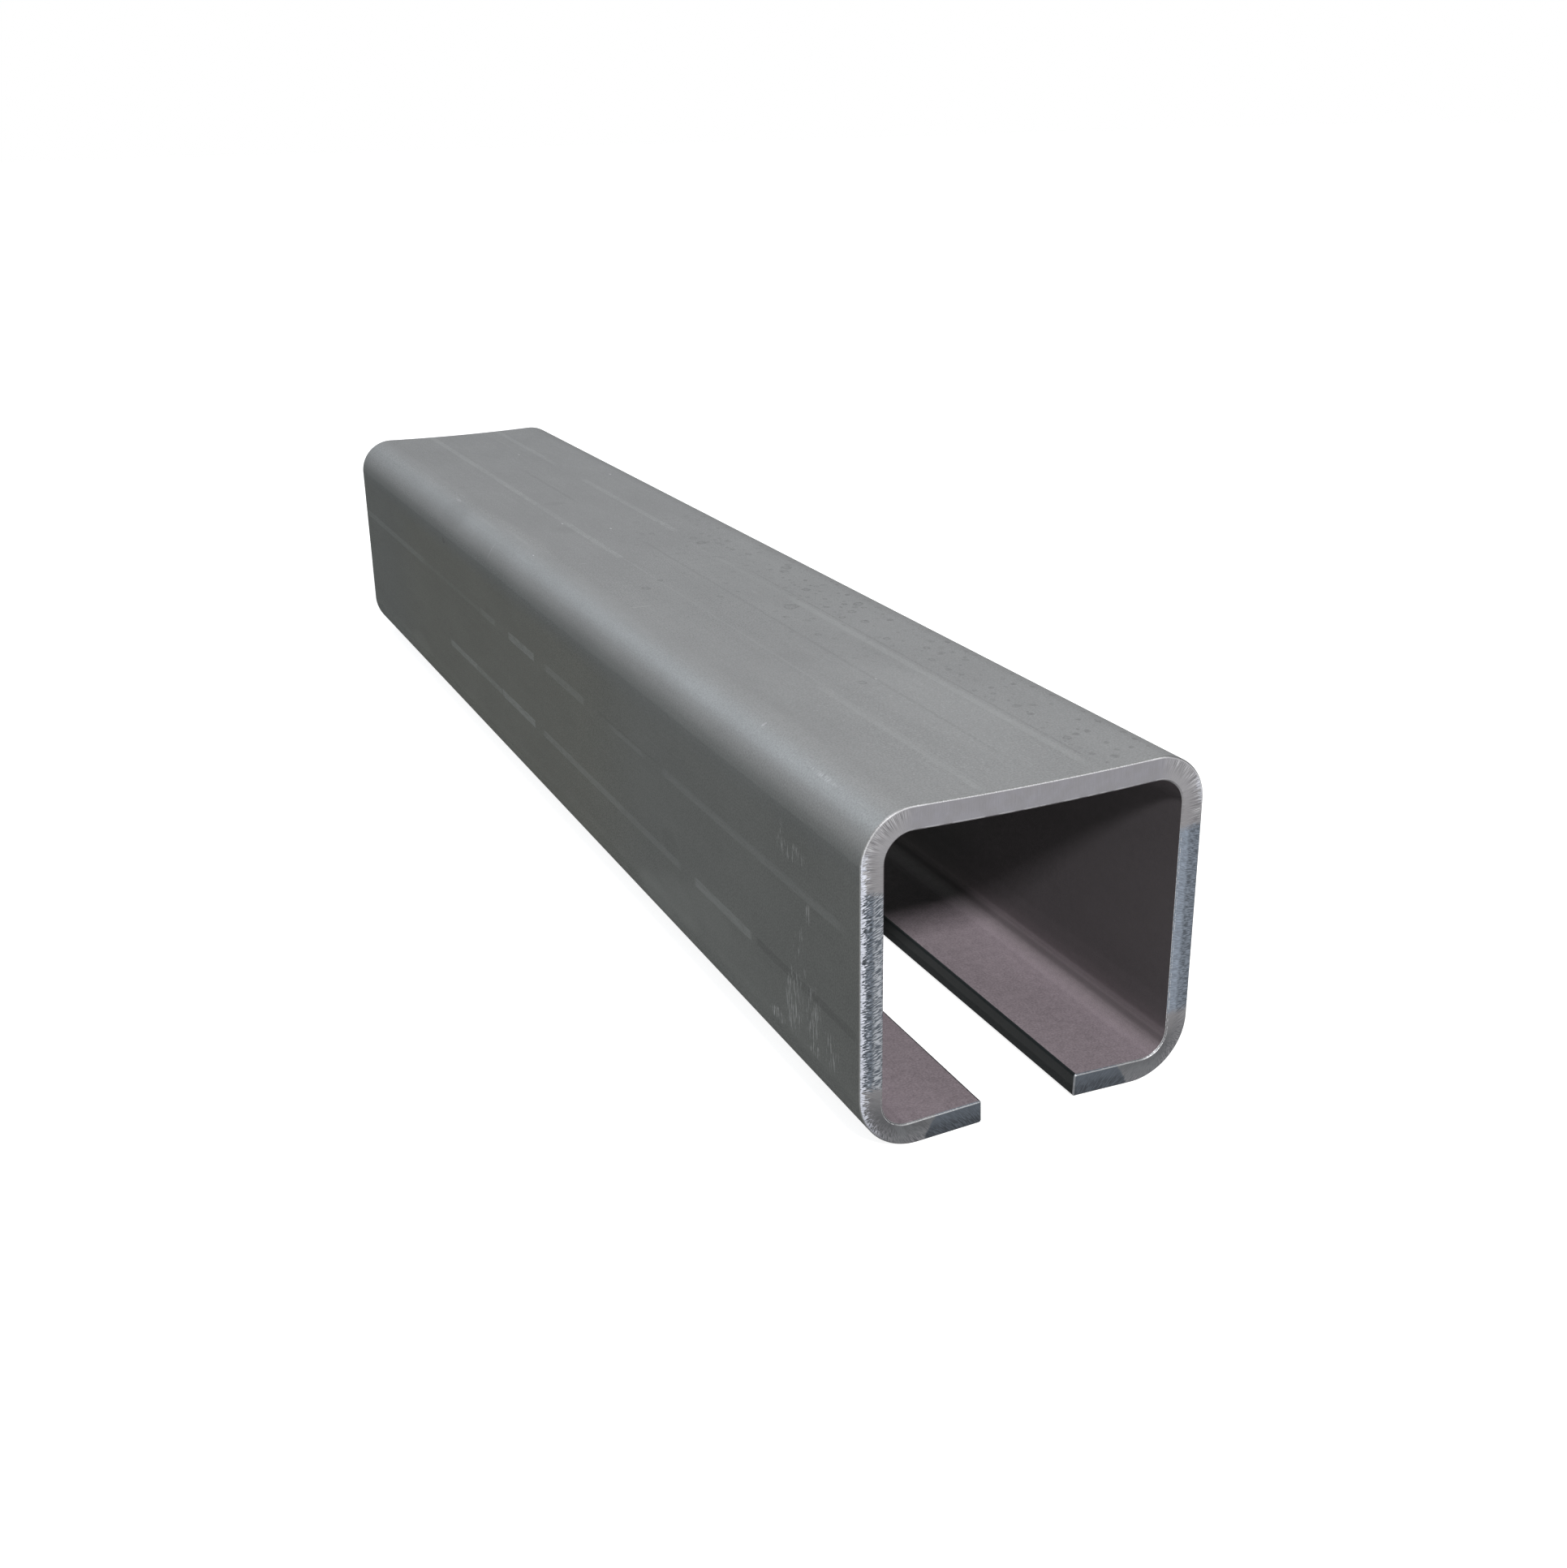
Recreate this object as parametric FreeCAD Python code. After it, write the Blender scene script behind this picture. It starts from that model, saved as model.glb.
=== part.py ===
import FreeCAD, Part
import math
import os

# Gate guide track: a short length of the C-shaped rail that is welded under a sliding gate.
# One steel strip is bent four times between rolls. It makes a web on top, two side walls,
# and two lips that turn in and leave a slot along the underside. A roller carriage runs
# inside, and its neck comes out through the slot. Both ends are cut square.
#
# Millimetres. X goes across the rail, Y along it and Z up. The origin is on the floor under
# the middle of the length. The rail rests on the outside of its two bottom bends.

# Driving dimensions

rail_length = 404.0
overall_width = 76.0
overall_height = 71.5
wall = 5.0
slot_width = 21.5

# Every bend is closed a little past a right angle, in degrees. The side walls stay upright,
# so the web sinks to a shallow hollow between its bends, and the lips rise towards the slot.
overbend = 1.9

# The strip keeps its thickness round the two top bends. The last rolls squeeze the two
# bottom bends, whose outside radius is more than the inside radius and the wall add up to.
top_inside_radius = 6.0
bottom_inside_radius = 5.5
bottom_squeeze = 2.2

# The slit long edges of the strip have slightly round corners.
# The burr of the cut is taken off all round both ends.
slit_corner_radius = 0.5
cut_edge_break = 0.3

# Sizes that follow from them

half_length = rail_length / 2
half_width = overall_width / 2
half_slot = slot_width / 2
top_outside_radius = top_inside_radius + wall
bottom_outside_radius = bottom_inside_radius + wall + bottom_squeeze

# Angles of the section, in degrees: 0 is +X and 90 is up.
web_angle = 90 - overbend
wall_angle = 180
lip_angle = 270 + overbend
slit_angle = 360 + overbend
lip_top_angle = 450 + overbend


def section_point(x, z):
    """A point in the plane of the near cut end, where the section is drawn."""
    return FreeCAD.Vector(x, -half_length, z)


def offset(radius, angle):
    """A step of this length at this angle in the plane of the section."""
    turn = math.radians(angle)
    return FreeCAD.Vector(radius * math.cos(turn), 0, radius * math.sin(turn))


def arc(centre, radius, start, end):
    """A round stretch of the outline about a centre, between two angles."""
    angles = (start, (start + end) / 2, end)
    return Part.Arc(*[centre + offset(radius, angle) for angle in angles]).toShape()


def outline(arcs):
    """Arcs in order round the strip, with a straight run from each one to the next."""
    edges = []
    last_point = None
    for centre, radius, start, end in arcs:
        first_point = centre + offset(radius, start)
        if last_point:
            edges.append(Part.LineSegment(last_point, first_point).toShape())
        edges.append(arc(centre, radius, start, end))
        last_point = centre + offset(radius, end)
    return edges


def left_half():
    """The strip from the web's left end down the side wall to the slot, and back up inside."""
    bottom_bend = section_point(-half_width + bottom_outside_radius, bottom_outside_radius)
    lip_start = bottom_bend + offset(bottom_outside_radius, lip_angle)
    lip_length = (-half_slot - lip_start.x) / math.cos(math.radians(overbend))
    lip_end = lip_start + offset(lip_length, slit_angle)

    lower_corner = lip_end + offset(slit_corner_radius, slit_angle + wall_angle)
    lower_corner += offset(slit_corner_radius, lip_top_angle)
    upper_corner = lower_corner + offset(wall - 2 * slit_corner_radius, lip_top_angle)

    # The inside of the bottom bend touches the side wall's inside and the lip's upper face.
    above_lip = lip_start + offset(wall + bottom_inside_radius, lip_top_angle)
    inside_x = -half_width + wall + bottom_inside_radius
    along_lip = (inside_x - above_lip.x) / math.cos(math.radians(overbend))
    inside_bend = above_lip + offset(along_lip, slit_angle)

    return outline(
        [
            (top_bend, top_outside_radius, web_angle, wall_angle),
            (bottom_bend, bottom_outside_radius, wall_angle, lip_angle),
            (lower_corner, slit_corner_radius, lip_angle, slit_angle),
            (upper_corner, slit_corner_radius, slit_angle, lip_top_angle),
            (inside_bend, bottom_inside_radius, lip_angle, wall_angle),
            (top_bend, top_inside_radius, wall_angle, web_angle),
        ]
    )


def web_face(bend_radius):
    """The hollow of the web's upper or lower face, from one top bend to the other."""
    start = top_bend + offset(bend_radius, web_angle)
    hollow = abs(start.x) * math.tan(math.radians(overbend) / 2)
    middle = section_point(0, start.z - hollow)
    end = section_point(-start.x, start.z)
    return Part.Arc(start, middle, end).toShape()


def rolled_section():
    """The C of the rail: one half of the strip, its mirror image, and the web between them."""
    left = left_half()
    right = [edge.mirror(FreeCAD.Vector(), FreeCAD.Vector(1, 0, 0)) for edge in left]
    web = [web_face(top_outside_radius), web_face(top_inside_radius)]
    return Part.Face(Part.Wire(Part.sortEdges(left + right + web)[0]))


def cut_rail():
    """The section run out to the rail's length, with both cut ends freed of their burr."""
    rail = rolled_section().extrude(FreeCAD.Vector(0, rail_length, 0))
    cut_edges = [edge for edge in rail.Edges if edge.BoundBox.YLength < cut_edge_break]
    return rail.makeChamfer(cut_edge_break, cut_edges)


top_bend = section_point(-half_width + top_outside_radius, overall_height - top_outside_radius)

os.makedirs("parts", exist_ok=True)
cut_rail().exportStep("parts/rail.step")
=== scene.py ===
import math

import bmesh
import bpy
from mathutils import Matrix, Vector, noise


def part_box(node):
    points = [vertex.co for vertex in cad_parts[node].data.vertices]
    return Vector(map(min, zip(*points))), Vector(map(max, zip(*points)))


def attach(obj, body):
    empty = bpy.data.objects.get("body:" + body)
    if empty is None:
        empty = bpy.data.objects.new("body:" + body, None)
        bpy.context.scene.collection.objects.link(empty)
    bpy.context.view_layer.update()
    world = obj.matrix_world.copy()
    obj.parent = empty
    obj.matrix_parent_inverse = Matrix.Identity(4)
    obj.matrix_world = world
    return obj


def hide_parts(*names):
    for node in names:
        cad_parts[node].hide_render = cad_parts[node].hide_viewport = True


bl_info = {
    "name": "Gate guide track",
    "version": (1, 0, 0),
    "blender": (4, 5, 0),
    "location": "View3D > Sidebar > Gate track",
    "description": "A short length of roll-formed C rail for a sliding gate, and its studio",
    "category": "Object",
}

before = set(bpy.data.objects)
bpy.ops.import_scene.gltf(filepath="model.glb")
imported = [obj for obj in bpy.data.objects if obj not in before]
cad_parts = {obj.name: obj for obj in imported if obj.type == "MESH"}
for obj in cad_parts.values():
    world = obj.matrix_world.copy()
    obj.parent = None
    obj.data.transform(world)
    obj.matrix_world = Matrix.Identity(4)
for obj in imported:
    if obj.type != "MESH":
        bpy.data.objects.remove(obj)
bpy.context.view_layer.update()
RAIL_LOW, RAIL_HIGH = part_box("rail")

MM = 0.001
PER_METRE = 1000  # millimetres
WALL = 5  # thickness of the strip in millimetres


# Sizes and finishes that a user may change


def length_setting(name, description, default):
    """A length in metres."""
    return bpy.props.FloatProperty(
        name=name, description=description, default=default, unit="LENGTH"
    )


def colour_setting(name, description, default):
    """A colour, as it renders under plain light."""
    return bpy.props.FloatVectorProperty(
        name=name, description=description, default=default, subtype="COLOR"
    )


def power_setting(name, lamp, default):
    """A lamp's power in watts."""
    return bpy.props.FloatProperty(
        name=name, description="Power of the " + lamp, default=default, subtype="POWER"
    )


class GuideTrackSizes(bpy.types.PropertyGroup):
    """The rail's section and length, as in the CAD model."""

    length: length_setting("Length", "Cut length of the rail", RAIL_HIGH[1] - RAIL_LOW[1])
    width: length_setting("Width", "Width over the two side walls", RAIL_HIGH[0] - RAIL_LOW[0])
    height: length_setting(
        "Height", "Height of the section, before the overbend lowers the top bends", 71.5 * MM
    )
    wall: length_setting("Wall", "Thickness of the strip", WALL * MM)
    slot: length_setting("Slot", "Gap between the two lips along the underside", 21.5 * MM)
    overbend: bpy.props.FloatProperty(
        name="Overbend",
        description="How far every bend is closed past a right angle",
        default=math.radians(1.9),
        subtype="ANGLE",
    )
    top_radius: length_setting("Top bend radius", "Inside radius of the two top bends", 6 * MM)
    bottom_radius: length_setting(
        "Bottom bend radius", "Inside radius of the two bottom bends", 5.5 * MM
    )
    squeeze: length_setting(
        "Bottom squeeze",
        "What the last rolls add to the outside radius of the bottom bends",
        2.2 * MM,
    )
    slit_corner: length_setting(
        "Slit corner radius", "Round of the strip's long slit edges", 0.5 * MM
    )
    edge_break: length_setting("Edge break", "Width of the break round both cut ends", 0.3 * MM)
    column: length_setting(
        "Column width",
        "Width of the mesh columns that the cut grooves are pressed into",
        0.22 * MM,
    )
    rows: bpy.props.IntProperty(
        name="Rows",
        description="Rows of the mesh through the wall on both cut ends",
        default=18,
        min=4,
    )
    groove_depth: length_setting(
        "Groove depth", "Depth of the coarse grooves that the cut left", 0.11 * MM
    )


class GuideTrackFinish(bpy.types.PropertyGroup):
    """Colours of the rail's mill scale and bare steel."""

    outside_scale: colour_setting(
        "Outside scale", "Mill scale on the outside of the strip", (0.22, 0.2215, 0.223)
    )
    inside_scale: colour_setting(
        "Inside scale", "Brown-violet mill scale on the inside of the strip", (0.15, 0.127, 0.138)
    )
    cut_steel: colour_setting("Cut steel", "Bare steel of the two cut ends", (0.19, 0.186, 0.198))
    cut_glint: colour_setting("Cut glint", "Bright ridges and rims of the cut", (0.46, 0.46, 0.47))
    cut_blue: colour_setting(
        "Cut blue", "Dark blue steel of the cut, on the legs and the lips", (0.078, 0.09, 0.108)
    )
    slit_steel: colour_setting(
        "Slit steel", "Dark blue-green steel of the strip's slit edges", (0.024, 0.03, 0.032)
    )
    # The rub colour also paints the highlight along the rounding of the slit edges.
    rub_and_highlight: colour_setting(
        "Rub marks", "Scale rubbed pale by the rolls and by handling", (0.34, 0.35, 0.345)
    )
    scratch: colour_setting("Scratches", "Steel laid bare by scratches", (0.8, 0.8, 0.8))
    stain: colour_setting("Stains", "Dried drops and dark lines on the scale", (0.07, 0.07, 0.07))


class StudioSetup(bpy.types.PropertyGroup):
    """Floor, lamps and camera."""

    floor: colour_setting("Floor", "Colour of the pale floor", (0.35, 0.35, 0.35))
    key: power_setting("Key lamp", "lamp in front, which lights the cut end and the inside", 168)
    overhead: power_setting("Overhead lamp", "soft lamp above, which casts the rail's shadow", 6.6)
    behind: power_setting("Lamp behind", "tall cool lamp behind, which the top bend mirrors", 31)
    fill: power_setting("Left fill", "weak shadowless lamp on the left", 3.7)
    inside: power_setting("Inside lamp", "weak strip lamp in the rail, for its dark depth", 0.009)
    ambient: bpy.props.FloatProperty(
        name="Ambient light",
        description="Strength of the even light from all round",
        default=0.04,
        min=0,
    )
    lens: bpy.props.FloatProperty(
        name="Lens",
        description="Focal length of the camera in millimetres",
        default=40.596,
    )


# The strip's section, point by point

CORNER_STEPS = 5  # faces round each slit corner
MERGE = 0.01 * MM  # the two halves of the section meet within this
ON_CUT_FACE = 0.05 * MM  # vertices this near the end are on the cut face
SHARP_ANGLE = math.radians(32)
OUTSIDE, INSIDE, CUT, SLIT = range(4)  # the mesh's material slots


def step(radius, angle):
    """A step of this length at this angle in the plane of the section: 0 is +X and 90 is up."""
    turn = math.radians(angle)
    return Vector((radius * math.cos(turn), 0, radius * math.sin(turn)))


def follow(line):
    """Adds to a line the points that its last move made, in order."""
    while True:
        ahead = [edge.other_vert(line[-1]) for edge in line[-1].link_edges]
        ahead = [point for point in ahead if len(line) < 2 or point is not line[-2]]
        if not ahead:
            return
        line.append(ahead[0])


def bend(bm, line, centre, angle, steps):
    """Carries a line's last point round a centre, as the rolls carry the strip."""
    turn = math.radians(angle)
    bmesh.ops.spin(bm, geom=[line[-1]], cent=centre, axis=(0, 1, 0), angle=turn, steps=steps)
    follow(line)


def run(bm, line, end, steps):
    """Carries a line's last point straight on to an end point, in even steps."""
    onward = (end - line[-1].co) / steps
    bmesh.ops.spin(bm, geom=[line[-1]], axis=(0, 1, 0), dvec=onward, angle=0, steps=steps)
    follow(line)


def half_strip_lines(bm, sizes):
    """The outer and inner lines of the strip's left half, from the web's middle to the slot."""
    over = math.degrees(sizes.overbend)
    top_outside = sizes.top_radius + sizes.wall
    bottom_outside = sizes.bottom_radius + sizes.wall + sizes.squeeze
    near = Vector((0, -sizes.length / 2, 0))

    top_bend = near + Vector((top_outside - sizes.width / 2, 0, sizes.height - top_outside))
    web_end = top_bend + step(top_outside, 90 - over)
    hollow_radius = -web_end.x / math.sin(sizes.overbend)
    web_centre = web_end + step(hollow_radius, 90 - over)

    bottom_bend = near + Vector((bottom_outside - sizes.width / 2, 0, bottom_outside))
    lip_start = bottom_bend + step(bottom_outside, 270 + over)
    lip_end = lip_start + step((-sizes.slot / 2 - lip_start.x) / math.cos(sizes.overbend), over)
    lip_stop = lip_end + step(sizes.slit_corner, 180 + over)
    lower_corner = lip_stop + step(sizes.slit_corner, 90 + over)
    upper_corner = lower_corner + step(sizes.wall - 2 * sizes.slit_corner, 90 + over)
    upper_stop = upper_corner + step(sizes.slit_corner, 90 + over)

    above_lip = lip_start + step(sizes.wall + sizes.bottom_radius, 90 + over)
    inside_x = sizes.wall + sizes.bottom_radius - sizes.width / 2
    along_lip = (inside_x - above_lip.x) / math.cos(sizes.overbend)
    inside_bend = above_lip + step(along_lip, over)

    outer_wall_end = bottom_bend + step(bottom_outside, 180)
    inner_wall_end = inside_bend + step(sizes.bottom_radius, 180)

    # Both lines get the same number of columns in each part, so that they can be bridged.
    columns = [
        max(4, round(length / sizes.column))
        for length in (
            -web_end.x,
            top_outside * math.radians(90 - over),
            top_bend.z - bottom_bend.z,
            bottom_outside * math.radians(90 + over),
            (lip_stop - lip_start).length,
        )
    ]

    outer = [bm.verts.new(web_centre - Vector((0, 0, hollow_radius)))]
    inner = [bm.verts.new(web_centre - Vector((0, 0, hollow_radius + sizes.wall)))]
    for line in (outer, inner):
        bend(bm, line, web_centre, over, columns[0])
        bend(bm, line, top_bend, over - 90, columns[1])
    run(bm, outer, outer_wall_end, columns[2])
    run(bm, inner, inner_wall_end, columns[2])
    bend(bm, outer, bottom_bend, -90 - over, columns[3])
    bend(bm, inner, inside_bend, -90 - over, columns[3])
    run(bm, outer, lip_stop, columns[4])
    run(bm, inner, upper_stop, columns[4])
    bend(bm, outer, lower_corner, -90, CORNER_STEPS)
    bend(bm, inner, upper_corner, 90, CORNER_STEPS)
    return outer, inner, sum(columns)


def near_cut_face(bm, sizes):
    """The strip's near end as one row of faces, each vertex marked with its place on the strip.

    The mark is the way across in metres, 0 outside or 1 inside, and 1 on the slit edge.
    """
    place = bm.verts.layers.float_vector.new("strip")
    outer, inner, slit = half_strip_lines(bm, sizes)
    length = 0
    for index, (low, high) in enumerate(zip(outer, inner)):
        if index:
            length += (low.co - outer[index - 1].co).length
        low[place] = (-length, 0, index >= slit)
        high[place] = (-length, 1, index >= slit)
    bmesh.ops.bridge_loops(bm, edges=bm.edges[:])
    bmesh.ops.mirror(bm, geom=bm.verts[:] + bm.edges[:] + bm.faces[:], axis="X", merge_dist=MERGE)
    for vert in bm.verts:
        vert[place].x = math.copysign(vert[place].x, vert.co.x)
    return place


def through_edges(bm, place):
    """The edges that run through the wall from the outer skin to the inner one."""
    ends = ((edge, *edge.verts) for edge in bm.edges)
    return [edge for edge, one, other in ends if abs(one[place].y - other[place].y) > 0.5]


def ramp(value, low, high):
    """From zero at low to one at high, and no further either way."""
    return min(1, max(0, (value - low) / (high - low)))


def press_grooves(bm, place, sizes):
    """Presses the coarse grooves of the cut into both end faces, inwards only."""
    for vert in bm.verts:
        if abs(vert.co.y) < sizes.length / 2 - ON_CUT_FACE:
            continue
        side = math.copysign(1, vert.co.y)
        across = vert[place].x / MM
        through = vert[place].y * sizes.wall / MM

        # The grooves are deep on the legs and the lower bends, and faint on the web and the lips.
        deep = 0.18 + 0.82 * (ramp(abs(across), 27, 49) * ramp(abs(across), 108, 92))
        ripple = noise.noise((across * 0.95 + through * 0.25, through * 0.16, side * 7))
        fine = noise.noise((across * 2.3 + through * 0.5, through * 0.3, side * 11))
        swell = noise.noise((across * 0.05, through * 0.1, side * 3))
        press = deep * (0.5 + 0.5 * ripple + 0.35 * fine) + 0.25 * (0.5 + 0.5 * swell)
        vert.co.y -= side * sizes.groove_depth * max(0, press)


def slot_of(face, place):
    """The material slot of a face, from its place on the strip."""
    if abs(face.normal.y) > 0.5:
        return CUT
    if min(vert[place].z for vert in face.verts) > 0.5:
        return SLIT
    if max(vert[place].y for vert in face.verts) < 0.5:
        return OUTSIDE
    return INSIDE


def build_rail(sizes):
    """The whole rail as one closed mesh."""
    bm = bmesh.new()
    place = near_cut_face(bm, sizes)
    near = bm.faces[:]
    made = bmesh.ops.extrude_face_region(bm, geom=near, use_keep_orig=True)
    moved = [part for part in made["geom"] if isinstance(part, bmesh.types.BMVert)]
    bmesh.ops.translate(bm, verts=moved, vec=(0, sizes.length, 0))
    far = [part for part in made["geom"] if isinstance(part, bmesh.types.BMFace)]
    bmesh.ops.recalc_face_normals(bm, faces=bm.faces[:])

    # The break round each cut end: the face is drawn in by its width and the skin by its depth.
    caps = near + far
    bmesh.ops.inset_region(bm, faces=caps, thickness=sizes.edge_break, use_even_offset=True)
    on_face = {vert for face in caps for vert in face.verts}
    for vert in bm.verts:
        if vert not in on_face:
            vert.co.y -= math.copysign(sizes.edge_break, vert.co.y)

    bmesh.ops.subdivide_edges(bm, edges=through_edges(bm, place), cuts=sizes.rows - 1)
    for face in bm.faces:
        face.material_index = slot_of(face, place)
        face.smooth = True
    press_grooves(bm, place, sizes)
    bmesh.ops.recalc_face_normals(bm, faces=bm.faces[:])

    # The operators leave some faces in another order each run, so the faces are sorted.
    bm.verts.index_update()
    count = len(bm.verts)
    bm.faces.sort(key=lambda face: face.verts[0].index * count + face.verts[2].index)

    mesh = bpy.data.meshes.new("guide_track")
    bm.to_mesh(mesh)
    bm.free()
    mesh.set_sharp_from_angle(angle=SHARP_ANGLE)
    return mesh


# Node helpers


class Reading:
    """A value or colour that changes over the surface, which sums can be written with."""

    def __init__(self, socket):
        self.socket = socket
        self.tree = socket.id_data

    def __add__(self, other):
        return maths("ADD", self, other)

    def __sub__(self, other):
        return maths("SUBTRACT", self, other)

    def __rsub__(self, other):
        return maths("SUBTRACT", other, self)

    def __mul__(self, other):
        return maths("MULTIPLY", self, other)

    def __truediv__(self, other):
        return maths("DIVIDE", self, other)

    def __rtruediv__(self, other):
        return maths("DIVIDE", other, self)

    def __abs__(self):
        return maths("ABSOLUTE", self)


def fill_inputs(made, inputs):
    """Gives each named input of a node its value, or links it to a reading."""
    for key, value in inputs.items():
        if isinstance(value, Reading):
            value.tree.links.new(value.socket, made.inputs[key])
        else:
            made.inputs[key].default_value = value


def node(tree, kind, inputs=None, **settings):
    """Adds a node, with its settings and with a value or a reading for each named input."""
    made = tree.nodes.new(kind)
    for key, value in settings.items():
        setattr(made, key, value)
    fill_inputs(made, inputs or {})
    return made


def out(made, key=0):
    """What one of a node's outputs gives."""
    return Reading(made.outputs[key])


def all_out(made):
    """What each of a node's outputs gives, by name."""
    return {socket.name: Reading(socket) for socket in made.outputs if socket.name}


def tree_of(values):
    """The node tree that the readings among these values are in."""
    return next(value.tree for value in values if isinstance(value, Reading))


def maths(operation, *values):
    """One sum on one or two values."""
    inputs = dict(enumerate(values))
    return out(node(tree_of(values), "ShaderNodeMath", inputs, operation=operation))


def strongest(masks):
    """Several masks put together so that the strongest shows."""
    total, *others = masks
    for mask in others:
        total = maths("MAXIMUM", total, mask)
    return total


def fade(value, low, high, start=0, end=1):
    """A smooth change from the start value at low to the end value at high."""
    inputs = {0: value, 1: low, 2: high, 3: start, 4: end}
    return out(node(value.tree, "ShaderNodeMapRange", inputs, interpolation_type="SMOOTHSTEP"))


def between(value, low, high, soft):
    """One between two limits and zero beyond them, with soft edges."""
    return fade(value, low - soft, low + soft) * fade(value, high + soft, high - soft)


def as_colour(colour):
    """A colour as a node input takes it."""
    return colour if isinstance(colour, Reading) else (*colour, 1)


def blend(mask, under, over, mode="MIX"):
    """One colour laid over another where the mask shows."""
    # The Mix node has its colours at 6 and 7, and its result at 2.
    inputs = {0: mask, 6: as_colour(under), 7: as_colour(over)}
    return out(node(mask.tree, "ShaderNodeMix", inputs, data_type="RGBA", blend_type=mode), 2)


def tint(mask, colour, factors):
    """A colour multiplied by a factor for each channel where the mask shows."""
    return blend(mask, colour, factors, "MULTIPLY")


def shade(colour, *factors):
    """A colour made lighter or darker, by one factor or by one for each channel."""
    return [channel * factor for channel, factor in zip(colour, factors * 3)]


def place_at(*values):
    """Two or three values as one place."""
    return out(node(tree_of(values), "ShaderNodeCombineXYZ", dict(enumerate(values))))


def stretched(across, along, scale_across, scale_along, third=0):
    """A place with its own scale across and along, for noise that is drawn out one way."""
    return place_at(across * scale_across, along * scale_along, third)


def parts(place):
    """The three values of a place."""
    split = node(place.tree, "ShaderNodeSeparateXYZ", {0: place})
    return [out(split, axis) for axis in range(3)]


def object_place(tree):
    """The place of a point in the object, in metres."""
    return out(node(tree, "ShaderNodeTexCoord"), "Object")


def distance(place):
    """How far a place is from the middle."""
    return out(node(place.tree, "ShaderNodeVectorMath", {0: place}, operation="LENGTH"), "Value")


def noise_at(place, scale, detail=3, roughness=0.55):
    """Plain noise at a place given in millimetres."""
    inputs = {"Vector": place, "Scale": scale, "Detail": detail, "Roughness": roughness}
    return out(node(place.tree, "ShaderNodeTexNoise", inputs), "Fac")


def bump(height, depth):
    """A bump normal from a height, with its depth in metres."""
    inputs = {"Height": height, "Distance": depth}
    return out(node(height.tree, "ShaderNodeBump", inputs), "Normal")


def new_group(name, inputs, outputs=("Mask",)):
    """A node group with named inputs, each with its default, and named outputs."""
    tree = bpy.data.node_groups.new(name, "ShaderNodeTree")
    interface = tree.interface
    for label, default in inputs.items():
        socket = interface.new_socket(label, in_out="INPUT", socket_type="NodeSocketFloat")
        socket.default_value = default
    for label in outputs:
        interface.new_socket(label, in_out="OUTPUT", socket_type="NodeSocketFloat")
    return tree, all_out(tree.nodes.new("NodeGroupInput")), tree.nodes.new("NodeGroupOutput")


def group_node(tree, group, inputs=None):
    """Places a node group with its own values, and gives its outputs by name."""
    return all_out(node(tree, "ShaderNodeGroup", inputs, node_tree=group))


# Effects that the materials share. All of them work in millimetres on the strip.

HERE = {"Across": 0, "Along": 0}
WEAR = ("Waver", "Streaks", "Hairs", "Wobble")
WEAR_LAYER, SPECK_LAYER = 3, 9  # layers of the noise that don't repeat each other
INSIDE_LAYER, SLIT_LAYER = 40, 80


def strip_place_group():
    """Where a point is on the strip: across, along and through it."""
    tree, _, given = new_group("Strip place", {}, ("Across", "Along", "Through"))
    mark = out(node(tree, "ShaderNodeAttribute", attribute_name="strip"), "Vector")
    across, depth, _ = parts(mark)
    along = parts(object_place(tree))[1]
    fill_inputs(
        given,
        {"Across": across * PER_METRE, "Along": along * PER_METRE, "Through": depth * WALL},
    )
    return tree


def scale_grain_group():
    """The mill scale's own texture: broad clouds, faint roll lines, mottle and fine grain."""
    tree, taken, given = new_group(
        "Scale grain",
        {**HERE, "Side": 0, "Mottle": 1, "Grain": 1},
        ("Tone", "Height", "Clouds"),
    )
    across, along, side = taken["Across"], taken["Along"], taken["Side"]
    here = place_at(across, along, side)
    clouds = noise_at(stretched(across, along, 1, 0.45, side), 0.06)
    lines = noise_at(stretched(across, along, 1, 0.02, side), 0.9, 2, 0.7)
    fine = noise_at(here, 2.4, 2, 0.6)
    mottle = noise_at(here, 0.45, 4, 0.65)
    tone = (clouds - 0.5) * 0.36 + 0.5
    tone = tone + (lines - 0.5) * 0.14
    tone = tone + (mottle - 0.5) * taken["Mottle"] * 0.5
    tone = tone + (fine - 0.5) * taken["Grain"] * 0.5
    fill_inputs(given, {"Tone": tone, "Height": fine * 0.5 + mottle * 0.5, "Clouds": clouds})
    return tree


def wear_noise_group():
    """The noises that make every mark uneven: its edge, its streaks, its hairs and its outline."""
    tree, taken, given = new_group("Wear noise", HERE, WEAR)
    for name, scale_across, scale_along, scale in (
        ("Waver", 1, 0.25, 0.7),
        ("Streaks", 1, 0.1, 2.4),
        ("Hairs", 0.16, 1, 1.7),
        ("Wobble", 1, 1, 0.9),
    ):
        where = stretched(taken["Across"], taken["Along"], scale_across, scale_along, WEAR_LAYER)
        fill_inputs(given, {name: noise_at(where, scale, 2, 0.6)})
    return tree


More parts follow.
